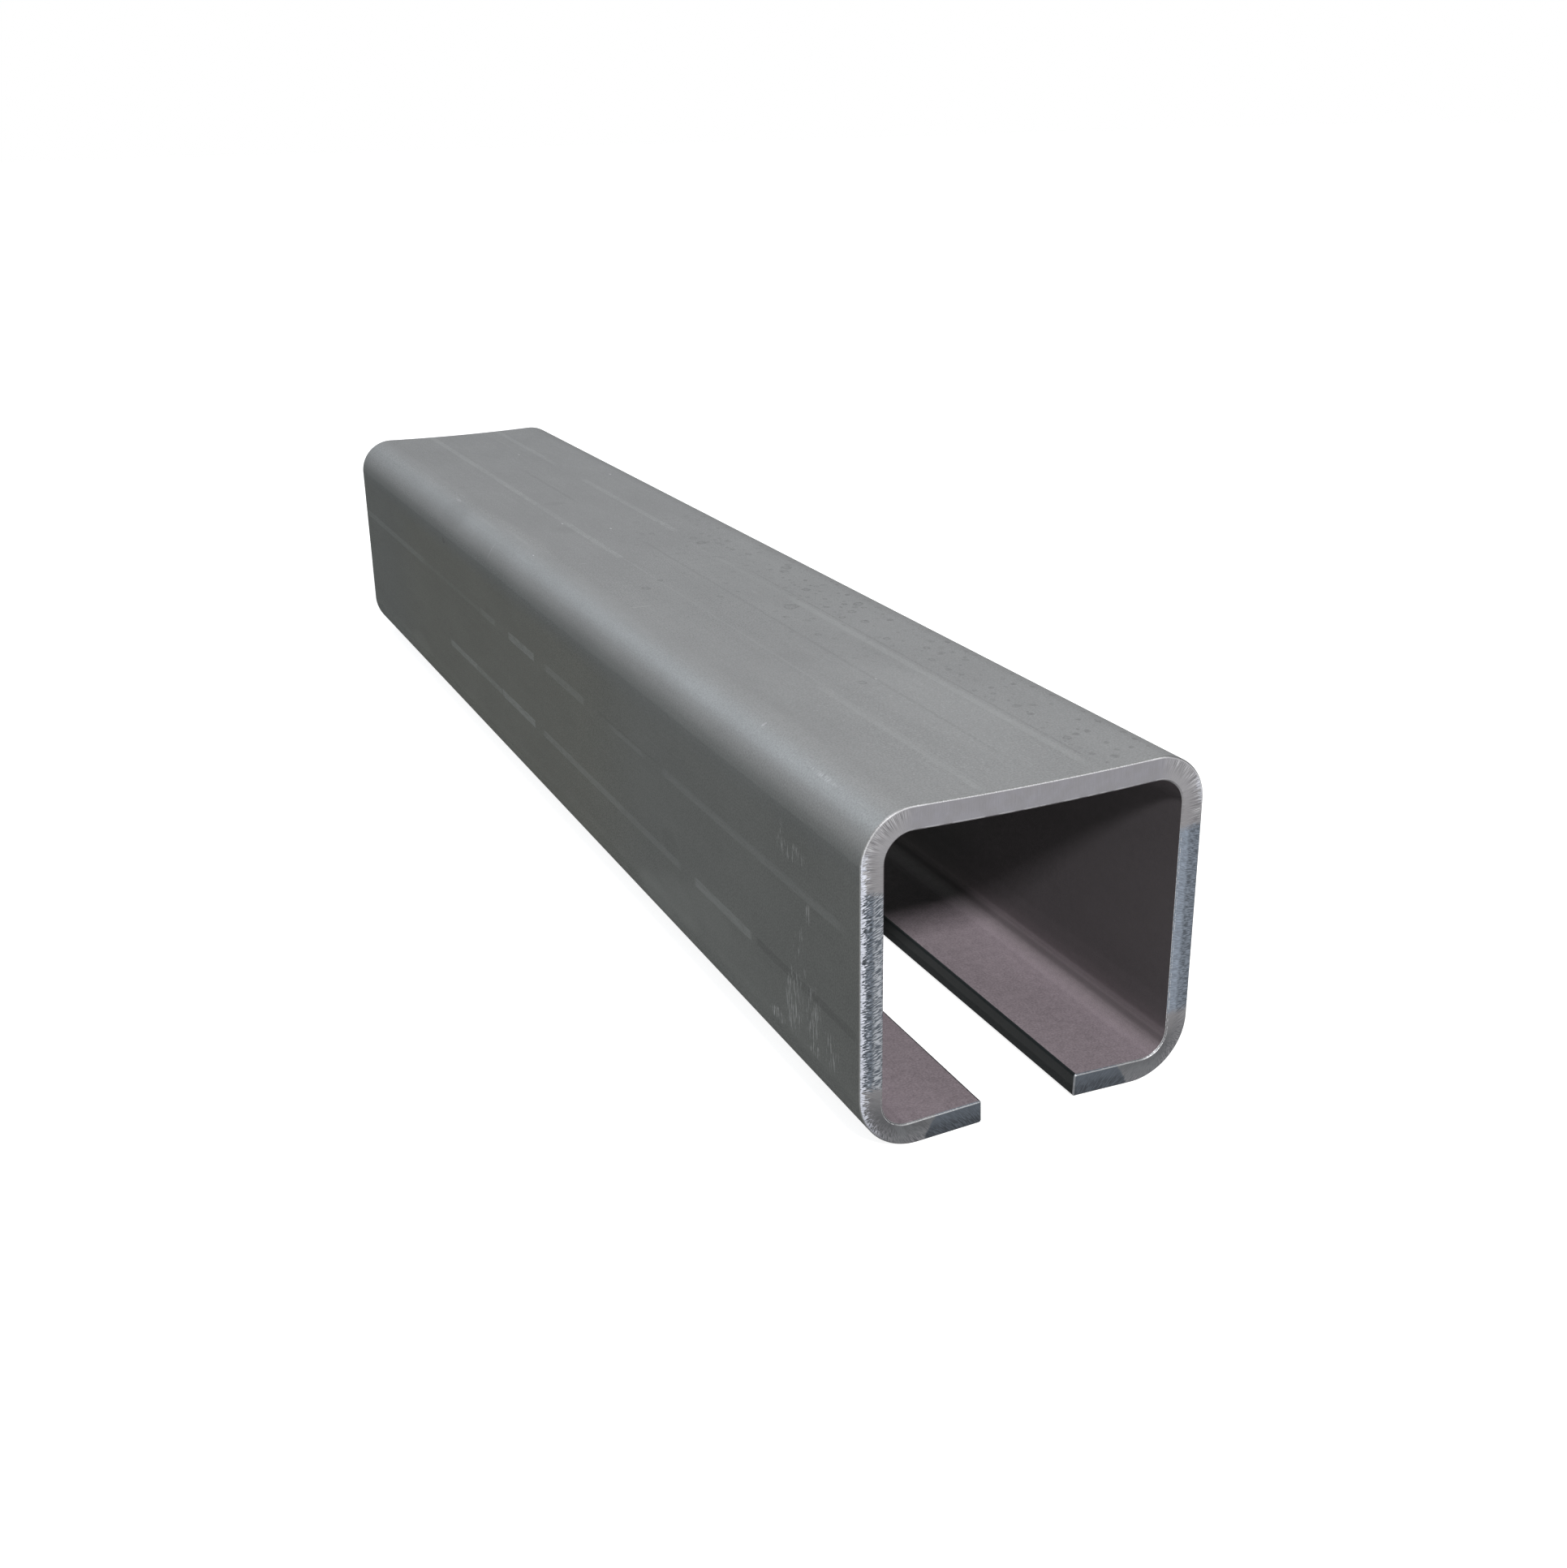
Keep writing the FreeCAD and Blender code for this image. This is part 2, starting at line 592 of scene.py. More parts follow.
def roll_mark_group():
    """A stripe that a roll or a guide rubbed along the strip, broken where it rode up."""
    defaults = dict(zip(MARK_NAMES, (0, 1.8, 0, 10, 1, 1, 0.5)))
    tree, taken, given = new_group(
        "Roll mark", {**HERE, "Waver": 0.5, "Streaks": 0.5, **defaults}
    )
    edge = 0.16
    half = taken["Width"] * 0.5
    off = abs(taken["Across"] - taken["Line"]) + (taken["Waver"] - 0.5) * 0.5
    mask = fade(off, half + edge, half - edge)
    for name, way in (("Start", 1), ("End", -1)):
        soft = taken[name + " fade"] * way
        mask = mask * fade(taken["Along"], taken[name] - soft, taken[name] + soft)
    worn = fade(taken["Streaks"], 0.3, 0.6, 0.55, 1)
    fill_inputs(given, {"Mask": mask * worn * taken["Strength"]})
    return tree


def scuff_group():
    """A patch of short scratches across the rail, where it was dragged over an edge."""
    defaults = dict(zip(SCUFF_NAMES, (0, 0, 4, 8, 0, 0.5)))
    tree, taken, given = new_group("Scuff", {**HERE, "Hairs": 0.5, "Wobble": 0.5, **defaults})
    away = taken["Wobble"] * 1.1
    for way in ("across", "along"):
        off = (taken[way.capitalize()] - taken["Centre " + way]) / taken["Reach " + way]
        away = away + off * off
    patch = fade(away, 1.55, 0.75)
    hairs = fade(taken["Hairs"] + taken["Fill"], 0.52, 0.64)
    fill_inputs(given, {"Mask": patch * hairs * taken["Strength"]})
    return tree


def drop_stain_group():
    """One dried drop: a darker rim round a paler middle, longer along the rail than across it."""
    defaults = dict(zip(DROP_NAMES, (0, 0, 2, 0.5)))
    tree, taken, given = new_group("Drop stain", {**HERE, "Wobble": 0.5, **defaults})
    side = taken["Across"] - taken["Centre across"]
    onward = taken["Along"] - taken["Centre along"]
    away = distance(stretched(side, onward, 1, 0.8)) / (taken["Size"] * 0.5)
    away = away + (taken["Wobble"] - 0.5) * 1.6
    rim = fade(away, 0.35, 0.95, 0.3, 1)
    fill_inputs(given, {"Mask": fade(away, 1.2, 0.9) * rim * taken["Strength"]})
    return tree


def scattered_drops_group():
    """A spatter of small dried drops."""
    tree, taken, given = new_group(
        "Scattered drops", {**HERE, "Wobble": 0.5, "Spacing": 7, "Share": 0.4, "Size": 1.4}
    )
    where = stretched(taken["Across"], taken["Along"], 1, 0.85)
    inputs = {"Vector": where, "Scale": 1 / taken["Spacing"]}
    spot = node(tree, "ShaderNodeTexVoronoi", inputs, voronoi_dimensions="2D")
    chance = node(tree, "ShaderNodeSeparateColor", {0: out(spot, "Color")})
    kept, larger, darker = (out(chance, channel) for channel in range(3))
    size = taken["Size"] * (larger * 0.4 + 0.16)
    away = out(spot, "Distance") * taken["Spacing"] / size
    away = away + (taken["Wobble"] - 0.5) * 1.4
    drops = fade(away, 1.2, 0.7) * fade(darker, 0, 1, 0.4, 1)
    fill_inputs(given, {"Mask": drops * maths("LESS_THAN", kept, taken["Share"])})
    return tree


def cut_grooves_group():
    """The grooves that the cut left through the wall."""
    tree, taken, given = new_group(
        "Cut grooves",
        {"Across": 0, "Through": 0, "Side": 0, "Spacing": 0.5, "Slant": 0, "Length": 4},
        ("Groove",),
    )
    leaned = taken["Through"] * taken["Slant"] + taken["Across"]
    where = place_at(leaned / taken["Spacing"], taken["Through"] / taken["Length"], taken["Side"])
    fill_inputs(given, {"Groove": noise_at(where, 1, 1.5, 0.6)})
    return tree


# What the photograph shows on the skin, in millimetres. Across is counted along the outside
# of the strip from the middle of the web, to the left below zero: the web ends at 26.7, the leg
# runs from 43.6 to 91.4, the lip from 111.7 to 124.9, and the slit edge follows. Along runs
# from the near cut end at -202 to the far one at 202. Through is 0 outside and 5 inside.

MARK_NAMES = ("Line", "Width", "Start", "End", "Start fade", "End fade", "Strength")
PALE_MARKS = (
    (12.85, 1.8, -197, -65, 4, 6, 0.2),
    (12.85, 1.3, -65, -15, 5, 12, 0.1),
    (14.15, 1.9, 17, 100, 3, 1, 0.16),
    (14.15, 1.8, 130, 202, 4, 1, 0.15),
    (-12, 1.5, -200, -133, 2, 3, 0.19),
    (-10.75, 0.5, -200, -5, 2, 1, 0.13),
    (-11.15, 2, -5, 45, 0.6, 6, 0.18),
    (-11.15, 1.9, 45, 70, 6, 5, 0.14),
    (-11.15, 2.1, 70, 202, 3, 1, 0.18),
    (-58.85, 2.1, -195, -103, 4, 2, 0.17),
    (-59.3, 1.3, -90, -67, 2, 3, 0.16),
    (-58.85, 2.2, -47, -15, 1.5, 1.5, 0.21),
    (-58.85, 2.4, -5, 19, 0.4, 1, 0.33),
    (-58.85, 2, 33, 48, 1, 2, 0.18),
    (-58.85, 1.2, 48, 115, 4, 4, 0.09),
    (-58.85, 2.1, 115, 200, 6, 2, 0.19),
    (-79.35, 2.2, -152, -121, 1, 1, 0.32),
    (-79.35, 2, -112, -75, 2, 2, 0.18),
    (-79.35, 2, -75, -10, 1, 2, 0.24),
    (-79.35, 2.2, -2, 30, 0.4, 1, 0.4),
    (-79.35, 1.8, 30, 57, 1, 1, 0.27),
    (-79.35, 2, 57, 88, 0.5, 2, 0.36),
    (-29.6, 0.8, 22, 42, 2, 3, 0.13),
    (-31.6, 0.7, 46, 62, 2, 3, 0.13),
)
DARK_MARKS = (
    (14.85, 0.5, -197, -35, 8, 6, 0.16),
    (1.35, 0.8, -185, 10, 12, 8, 0.13),
    (1.2, 0.9, 70, 125, 5, 6, 0.12),
    (-79.1, 2, -200, -155, 1, 1, 0.25),
    (-58.1, 0.6, -195, -60, 6, 6, 0.12),
)

# Centre across and along, reach across and along, how full, strength
SCUFF_NAMES = ("Centre across", "Centre along", "Reach across", "Reach along", "Fill", "Strength")
SCUFFS = (
    (-51.8, -172, 2.6, 8, 0.01, 0.17),
    (-49.5, -168, 3.5, 1, 0.06, 0.15),
    (-62.3, -180, 2.6, 1.6, 0.05, 0.17),
    (-83.5, -182, 8, 4, 0.02, 0.2),
    (-84.5, -173, 9, 5, 0.02, 0.22),
    (-91.5, -165, 1.8, 4, 0, 0.42),
    (-90.8, -182, 1.8, 4, 0, 0.32),
    (-74, -176, 9, 4, -0.03, 0.16),
    (-87.5, -190, 5, 4, -0.02, 0.2),
    (-33.5, -178, 0.7, 8, 0.05, 0.1),
    (-24.2, -55.5, 3, 0.5, 0.1, 0.12),
    (-22.8, -7.5, 1.6, 0.5, 0.1, 0.1),
    (-38, 38, 3.2, 0.4, 0.2, 0.08),
    (-31, 91, 0.5, 3, 0.2, 0.08),
    (7.2, -55, 0.5, 4, 0.05, 0.08),
    (-1.6, 29.5, 0.3, 0.9, 0.3, 0.16),
    (-12.5, 42, 0.3, 0.9, 0.3, 0.2),
    (8, 153, 0.3, 1.4, 0.3, 0.16),
    (24.6, 103, 0.3, 1.2, 0.3, 0.16),
    (-31.5, 11, 0.25, 0.5, 0.3, 0.25),
    (1.5, -133, 0.3, 0.6, 0.3, 0.2),
    (-32, -147, 0.8, 0.5, 0.3, 0.12),
)

# Centre across and along, size, strength
DROP_NAMES = ("Centre across", "Centre along", "Size", "Strength")
DROP_STAINS = (
    (9.6, -72, 3.5, 0.24),
    (-2.3, -134, 1.9, 0.29),
    (-2.3, -55, 1.6, 0.24),
    (-16.6, -39, 2.2, 0.3),
    (-10.3, -33, 1.5, 0.4),
    (15.2, 0, 2.6, 0.36),
    (15.2, 6, 2.2, 0.32),
    (6.7, 17.5, 1.6, 0.32),
    (4.2, 19, 1.3, 0.32),
    (25, -79, 2.4, 0.36),
    (24.3, -38, 2.4, 0.32),
    (21.5, -19, 1.8, 0.3),
    (17.5, -184, 1.7, 0.29),
    (22.2, -41, 2, 0.32),
    (19.5, -60, 1.8, 0.32),
    (-45.4, 87, 1.6, 0.4),
    (23.4, -124, 1.5, 0.3),
    (22, -119, 1.6, 0.28),
    (19, -127, 1.4, 0.26),
    (17.6, -108, 1.5, 0.26),
    (19.6, -93, 2, 0.3),
    (16.4, -87, 1.6, 0.28),
    (20.6, -84, 1.8, 0.3),
    (5, -97, 1.5, 0.26),
    (4.6, -80, 1.5, 0.26),
    (22.4, -3, 1.5, 0.26),
)

# Broad dull and light patches: centre across and along, reach across and along, strength
DULL_PATCHES = (
    (-35, 83, 5, 13, 0.15),
    (-75.5, -106, 3.5, 6, 0.16),
    (-5.5, 70, 3.5, 3, 0.16),
    (-15, 34, 4, 5, 0.14),
    (-7, -110, 4, 6, 0.12),
)
LIGHT_PATCHES = (
    (-84, -127, 6, 14, 0.16),
    (-89, -110, 6, 14, 0.26),
    (-93, -96, 5, 14, 0.34),
    (-91, 130, 4, 14, 0.22),
    (-85.5, -174, 7, 6, 0.13),
    (-87, -184, 6, 3, 0.1),
    (4, -155, 10, 40, 0.16),
    (-26, -40, 6, 50, 0.08),
    (-28, 30, 3, 30, 0.12),
)

# Spacing of the drops, share of them that show, size, how much of them is left beyond the
# thick part, strength
SPATTERS = ((3.1, 0.52, 1.5, 0.5, 0.32), (6, 0.36, 2, 0.7, 0.18))

# Painted light and shade in lengthwise bands along the bends of the outside: low and high limit,
# softness, tone
PAINTED_LIGHT_BANDS = (
    (32.5, 38.5, 2, 0.92),
    (38.5, 42, 2, 0.96),
    (40.4, 42.4, 1, 0.97),
    (42.9, 44.8, 1, 1.05),
    (91.7, 93.1, 0.8, 0.97),
    (92.5, 114, 3, 1.2),
    (93.8, 97.5, 2, 1.14),
)

# Bands along the inside folds, partly crushed scale and partly painted light and shade: low and
# high limit, strength, tone
FOLD_SCALE_AND_LIGHT = (
    (101.5, 108, 0.2, 1.7),
    (86, 91, 0.07, 1.8),
    (92, 94, 0.25, 1.8),
    (96.5, 99.5, 0.6, 0.5),
)

# The grey scale inside is also darkened as painted shade of the hollow.
SHADED_GREY_SCALE = (0.056, 0.056, 0.0575)  # darker scale on the inside of the web and the legs
SLANT_RIDGES = (0.31, 0.325, 0.35)  # pale slanting ridges near the inside of the left leg
BREAK_SCALE = (0.15, 0.154, 0.152)  # scale left on the outer side of the edge break
BREAK_START = 201.7  # where the edge break starts, along from the middle of the rail


def placed_marks(tree, group, links, rows, names):
    """One group node for each row of marks, put together so that the strongest shows."""
    return strongest(
        group_node(tree, group, {**links, **dict(zip(names, row))})["Mask"] for row in rows
    )


def soft_patches(across, along, rows):
    """Broad soft patches, one for each row."""
    masks = []
    for centre_across, centre_along, reach_across, reach_along, strength in rows:
        off = (across - centre_across) / reach_across
        onward = (along - centre_along) / reach_along
        masks.append(fade(off * off + onward * onward, 1.3, 0.2, 0, strength))
    return strongest(masks)


def new_material(name):
    """A material with an empty node tree."""
    material = bpy.data.materials.new(name)
    material.use_nodes = True
    material.node_tree.nodes.clear()
    return material, material.node_tree


def finished(material, inputs):
    """Gives a material its Principled shader, with these inputs, and its output."""
    shader = node(material.node_tree, "ShaderNodeBsdfPrincipled", inputs)
    node(material.node_tree, "ShaderNodeOutputMaterial", {"Surface": out(shader)})
    return material


def outside_material(groups, finish):
    """Blue-grey mill scale, rubbed by the rolls, stained by drops and scuffed near the cut end."""
    material, tree = new_material("mill_scale_outside")
    place = group_node(tree, groups["place"])
    across, along = place["Across"], place["Along"]
    here = {"Across": across, "Along": along}
    grain = group_node(tree, groups["grain"], {**here, "Mottle": 0.6, "Grain": 2.7})
    wear = group_node(tree, groups["wear"], here)
    stripe = {**here, "Waver": wear["Waver"], "Streaks": wear["Streaks"]}
    scratch = {**here, "Hairs": wear["Hairs"], "Wobble": wear["Wobble"]}
    spot = {**here, "Wobble": wear["Wobble"]}

    pale = placed_marks(tree, groups["mark"], stripe, PALE_MARKS, MARK_NAMES)
    dark = placed_marks(tree, groups["mark"], stripe, DARK_MARKS, MARK_NAMES)
    scuffs = placed_marks(tree, groups["scuff"], scratch, SCUFFS, SCUFF_NAMES)
    drops = placed_marks(tree, groups["drop"], spot, DROP_STAINS, DROP_NAMES)

    # The spatter lies thickest on the right of the web, up to a little past its middle length.
    thick = fade(across, 13, 19) * fade(along, 40, 10)
    thin = fade(across, -20, 12) * fade(along, -170, -90) * fade(along, 60, 20)
    stains = [dark, drops]
    for spacing, share, size, thinned, strength in SPATTERS:
        values = {"Spacing": spacing, "Share": share, "Size": size}
        spatter = group_node(tree, groups["spatter"], {**spot, **values})["Mask"]
        stains.append(spatter * strongest((thick, thin * thinned)) * strength)
    dark = strongest(stains)

    # Fine light specks where the near end was handled.
    specks = noise_at(place_at(across, along, SPECK_LAYER), 1.6, 2, 0.7)
    handled = between(across, -22, 14, 6)
    specks = fade(specks, 0.56, 0.68) * handled * between(along, -195, -128, 12) * 0.34
    pale = strongest((pale, specks))

    base = finish.outside_scale
    colour = blend(fade(grain["Tone"], 0.1, 0.9), shade(base, 0.84), shade(base, 1.16))
    dull = soft_patches(across, along, DULL_PATCHES)
    colour = blend(dull, colour, shade(base, 0.62))
    colour = blend(soft_patches(across, along, LIGHT_PATCHES), colour, shade(base, 1.35))

    # The legs are darker than the web as painted shade of the side walls, browner along their
    # middle and dull near the cut end.
    away = abs(across)
    colour = tint(fade(away, 37.5, 44), colour, (0.82, 0.833, 0.815))
    # Painted light and shade, band by band along the bends.
    for low, high, soft, tone in PAINTED_LIGHT_BANDS:
        colour = tint(between(away, low, high, soft), colour, [tone] * 3)
    brown = fade(away, 43, 50) * fade(along, -100, -40, 0.3, 1) * fade(along, 180, 110, 0.4, 1)
    colour = tint(brown, colour, (1.01, 0.985, 0.92))
    near = fade(away, 39, 43) * fade(along, -145, -180)
    colour = tint(near, colour, [0.93] * 3)

    colour = blend(dark, colour, finish.stain)
    colour = blend(pale, colour, finish.rub_and_highlight)
    colour = blend(scuffs, colour, finish.scratch)
    rough = fade(grain["Tone"], 0.2, 0.8, 0.45, 0.4)
    for mask in (dark, pale, dull):
        rough = rough + mask * 0.12
    return finished(
        material,
        {
            "Base Color": colour,
            "Roughness": rough,
            "Metallic": 0.2,
            "Specular IOR Level": 0,
            "Specular Tint": (0.1, 0.1, 0.1, 1),
            "Normal": bump(grain["Height"], 0.02 * MM),
        },
    )


def inside_material(groups, finish):
    """Brown-violet scale of fine open grain; the bottom folds have crushed scale, painted light
    and shade.
    """
    material, tree = new_material("mill_scale_inside")
    place = group_node(tree, groups["place"])
    away = abs(place["Across"])
    grain = group_node(
        tree,
        groups["grain"],
        {
            "Across": place["Across"],
            "Along": place["Along"],
            "Side": INSIDE_LAYER,
            "Mottle": fade(away, 96, 106, 0.5, 1.4),
            "Grain": fade(away, 96, 106, 0.6, 3),
        },
    )
    base = finish.inside_scale
    colour = blend(fade(grain["Tone"], 0, 1), shade(base, 0.7), shade(base, 1.3))
    # Painted shade: the hollow's web and walls are greyer and darker.
    colour = blend(fade(away, 93, 88) * 0.55, colour, SHADED_GREY_SCALE)
    colour = tint(fade(away, 38, 28), colour, (1.1, 1.22, 1.18))
    # Crushed scale along the folds, with painted light and shade.
    for low, high, strength, tone in FOLD_SCALE_AND_LIGHT:
        colour = blend(between(away, low, high, 1) * strength, colour, shade(base, tone))
    violet = fade(away, 100, 108) * (fade(away, 122, 110) * 0.5 + 0.35)
    colour = tint(violet, colour, (1.1, 1.085, 1.11))
    return finished(
        material,
        {
            "Base Color": colour,
            "Roughness": fade(grain["Clouds"], 0.3, 0.7, 0.5, 0.6),
            "Specular IOR Level": 0.2,
            "Normal": bump(grain["Height"], 0.05 * MM),
        },
    )


def cut_material(groups, finish):
    """Bare steel of the cut: smooth on the web, grooved on the legs, dark blue on the lips."""
    material, tree = new_material("cut_steel")
    place = group_node(tree, groups["place"])
    across, along, through = place["Across"], place["Along"], place["Through"]
    away = abs(across)
    left = maths("LESS_THAN", across, 0)
    side = left * 13 + fade(along, -1, 1, 0, 40)
    names = ("Across", "Spacing", "Slant", "Length")
    rows = ((across, 0.13, 0, 4), (away, 0.26, 0.35, 1.3), (away, 0.3, 0.55, 1.6))
    here = {"Through": through, "Side": side}
    streaks, dashes, slanted = (
        group_node(tree, groups["grooves"], {**here, **dict(zip(names, row))})["Groove"]
        for row in rows
    )
    ragged = noise_at(stretched(across, through, 1.7, 0.5, side), 1, 2, 0.6) - 0.5
    depth = through + ragged * 1.3

    steel, pale, blue = finish.cut_steel, finish.cut_glint, finish.cut_blue
    colour = blend(fade(streaks, 0.35, 0.65), shade(steel, 0.96), shade(steel, 1.04))
    clouds = noise_at(place_at(across, through, side), 0.3)
    colour = tint(fade(clouds, 0.35, 0.65), colour, (1.06, 1.065, 1.09))
    # Painted highlight along the inner edge of the web's cut face.
    web_edge_highlight = fade(through, 4.84, 4.9) * fade(away, 34, 30) * fade(clouds, 0.42, 0.56, 0.05, 0.5)
    colour = blend(web_edge_highlight, colour, pale)

    # Round the top bends thin dark rays run in from the outside, with pale ones between them.
    round_bend = fade(away, 26, 33)
    colour = blend(round_bend, colour, shade(steel, 1.2, 1.2, 1.17))
    colour = blend(fade(away, 38, 46) * 0.5, colour, shade(steel, 0.86, 0.84, 0.81))
    rays = fade(streaks, 0.5, 0.42) * round_bend * fade(depth, 4.6, 1.4, 0.12, 0.75)
    colour = blend(rays, colour, shade(steel, 0.5))
    rays = fade(streaks, 0.52, 0.6) * round_bend * fade(depth, 3, 0.2, 0.08, 0.85)
    colour = blend(rays, colour, shade(pale, 0.95))
    # Painted highlight on the outer edge break round the top bends.
    bend_edge_highlight = fade(through, 0.16, 0.08) * between(away, 25, 45, 2) * 0.7
    colour = blend(bend_edge_highlight, colour, shade(pale, 1.2))

    # The lower bends and the roots of the lips are dull.
    low = fade(away, 84, 100)
    colour = blend(low, colour, shade(steel, 0.41, 0.43, 0.43))
    colour = blend(low * left * 0.4, colour, shade(steel, 0.24))
    crease = fade(dashes, 0.4, 0.62) * low * fade(depth, 4.5, 0.5, 0.15, 0.8)
    colour = blend(crease, colour, steel)
    patches = fade(clouds, 0.4, 0.6, 0.3, 1)
    root = between(away, 105, 120, 4) * patches * (left * -0.2 + 0.8)
    colour = blend(root, colour, shade(steel, 0.65, 0.69, 0.68))

    # On the legs the grooves lie in an outer and an inner band, plainer on the right leg.
    feather = away + (streaks - 0.5) * 5
    leg = fade(feather, 48.4, 49.8) * fade(feather + depth * 0.4, 91, 89.6)
    inner_band = fade(depth, 2.4, 3.4)
    outer = blend(fade(dashes, 0.36, 0.64), shade(blue, 0.4), shade(blue, 1.7))
    inner = blend(fade(slanted, 0.42, 0.6), shade(blue, 0.8), SLANT_RIDGES)
    left_leg = blend(inner_band, outer, inner)
    outer = blend(fade(dashes, 0.4, 0.6), shade(blue, 0.8), shade(blue, 1.8))
    inner = blend(fade(slanted, 0.38, 0.62), shade(blue, 1.7), shade(blue, 2.5))
    right_leg = blend(inner_band, outer, inner)
    colour = blend(leg, colour, blend(left, right_leg, left_leg))

    # Painted glints of the grooves: short bright dashes crowd the outside of the left leg and thin
    # out inwards.
    on_left = left * fade(away, 39, 44) * fade(away, 106, 92)
    on_right = between(away, 38, 44, 2) * (0.5 - left)
    crowd = dashes - fade(through + ragged * 0.6, 0, 1.7, 0.42, 0.6)
    glint = fade(crowd, -0.04, 0.04) * fade(depth, 2.3, 1.5) * strongest((on_left, on_right))
    sparkle = blend(
        fade(streaks, 0.42, 0.58), shade(pale, 0.68, 0.71, 0.79), shade(pale, 1.34, 1.37, 1.48)
    )
    colour = blend(glint, colour, sparkle)

    # The lips are dark blue.
    lip = fade(away + ragged + through * -0.8, 113.3, 113.9)
    deep_blue = blend(fade(depth, 1.2, 4.2), shade(blue, 0.36), shade(blue, 0.76))
    deep_blue = blend(fade(slanted, 0.4, 0.65, 0, 0.6), deep_blue, shade(blue, 1.1))
    colour = blend(lip, colour, deep_blue)

    # Painted highlights on the thin edges: outside along the web, inside along the legs and round
    # the lips.
    # The edge break of the legs has a painted highlight along both its sides, and is dull between
    # them.
    at_lip = fade(away, 104, 107)
    front = abs(along) + ragged * 0.25
    line = 1 - between(front, BREAK_START + 0.04, BREAK_START + 0.22, 0.03)
    lip_edge_highlight = at_lip * fade(front, BREAK_START + 0.1, BREAK_START + 0.16) * 0.35
    line = strongest((line * (1 - at_lip), lip_edge_highlight))
    web_front = fade(front, BREAK_START + 0.1, BREAK_START + 0.2)
    outer_edge_highlight = fade(through, 0.08, 0.02) * fade(away, 30, 25) * web_front
    inner_start = left * 40 + 50
    inner_edge_highlight = fade(through, 4.9, 4.97) * fade(away - inner_start, -4, 4) * line
    skin = fade(through, 0.08, 0.02) * fade(front, BREAK_START + 0.2, BREAK_START + 0.1)
    colour = blend(skin, colour, BREAK_SCALE)
    burr = fade(through, 0.1, 0.02) * between(away, 28, 38, 3) * 0.6
    colour = blend(burr, colour, shade(steel, 0.4))
    broken = strongest((at_lip, fade(dashes, 0.35, 0.6, 0.3, 1)))
    rim = strongest((outer_edge_highlight, inner_edge_highlight)) * broken

    # A thin upright painted highlight at the lip's end, which leans a little with the over-closed
    # lip.
    from_middle = abs(parts(object_place(tree))[0]) * PER_METRE + through * -0.033
    lip_end_highlight = fade(from_middle, 11.1, 11) * at_lip * 0.25
    colour = blend(strongest((rim, lip_end_highlight)), colour, pale)
    return finished(
        material,
        {
            "Base Color": colour,
            "Roughness": fade(dashes, 0.3, 0.7, 0.5, 0.38),
            "Metallic": 0.35,
            "Normal": bump(dashes * 0.5 + streaks * 0.5, 0.06 * MM),
        },
    )


def slit_material(groups, finish):
    """The strip's slit edges: dark and blue-green, sheared smooth on top and torn below."""
    material, tree = new_material("slit_steel")
    place = group_node(tree, groups["place"])
    away, through = abs(place["Across"]), place["Through"]
    grain = group_node(
        tree,
        groups["grain"],
        {"Across": through, "Along": place["Along"], "Side": SLIT_LAYER, "Grain": 2.4},
    )
    sheared = fade(through + (grain["Clouds"] - 0.5) * 1.6, 1.8, 2.6)
    base = finish.slit_steel
    torn = blend(grain["Tone"], shade(base, 0.34), shade(base, 0.66))
    smooth = blend(grain["Tone"], shade(base, 0.4), shade(base, 0.64))
    colour = blend(sheared, torn, smooth)

    # The rounding ends in the colour of the inside, with a broken painted highlight just below it.
    top = fade(through, 4.9, 4.96)
    colour = blend(top * fade(away, 125.02, 124.94), colour, finish.inside_scale)
    slit_edge_highlight = top * between(away, 124.96, 125.2, 0.05) * fade(grain["Tone"], 0.3, 0.6, 0.5, 0.9)
    colour = blend(slit_edge_highlight, colour, finish.rub_and_highlight)
    return finished(
        material,
        {
            "Base Color": colour,
            "Roughness": fade(sheared, 0, 1, 0.6, 0.42),
            "Specular IOR Level": 0.3,
            "Normal": bump(grain["Height"], 0.04 * MM),
        },
    )


class GateTrackBuildRail(bpy.types.Operator):
    """Build the guide track in place of the plain CAD rail"""

    bl_idname = "gate_track.build_rail"
    bl_label = "Build the guide track"

    def execute(self, context):
        sizes = context.scene.guide_track_sizes
        finish = context.scene.guide_track_finish
        groups = {
            "place": strip_place_group(),
            "grain": scale_grain_group(),
            "wear": wear_noise_group(),
            "mark": roll_mark_group(),
            "scuff": scuff_group(),
            "drop": drop_stain_group(),
            "spatter": scattered_drops_group(),
            "grooves": cut_grooves_group(),
        }
        mesh = build_rail(sizes)
        for make in (outside_material, inside_material, cut_material, slit_material):
            mesh.materials.append(make(groups, finish))
        rail = bpy.data.objects.new("guide_track", mesh)
        context.scene.collection.objects.link(rail)
        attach(rail, "root")
        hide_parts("rail")
        return {"FINISHED"}


# The studio. Each lamp has a name, the setting of its power, its width and height, its place,
# the point it faces and its colour.

RAIL_MIDDLE = (0, 0, 0.05)
LAMPS = (
    ("key_lamp", "key", (0.34, 0.34), (-0.325, -2.51, 1.93), (0, -0.2, 0.04), (1, 1, 1)),
    ("overhead_lamp", "overhead", (0.8, 0.8), (-0.1, 0.4, 1.5), RAIL_MIDDLE, (1, 1, 1)),
    ("lamp_behind", "behind", (1.1, 1), (-0.75, 2.1, 1.25), RAIL_MIDDLE, (0.8, 0.92, 1)),
    ("left_fill", "fill", (0.8, 0.8), (-2.4, -1.5, 0.4), RAIL_MIDDLE, (0.92, 1, 0.9)),
    ("inside_lamp", "inside", (0.24, 0.03), (0, 0, 0.058), (0.01, 0, 0.01), (0.86, 1, 0.94)),
)
FLOOR_HALF = 6
WHITE = (1, 1, 1, 1)

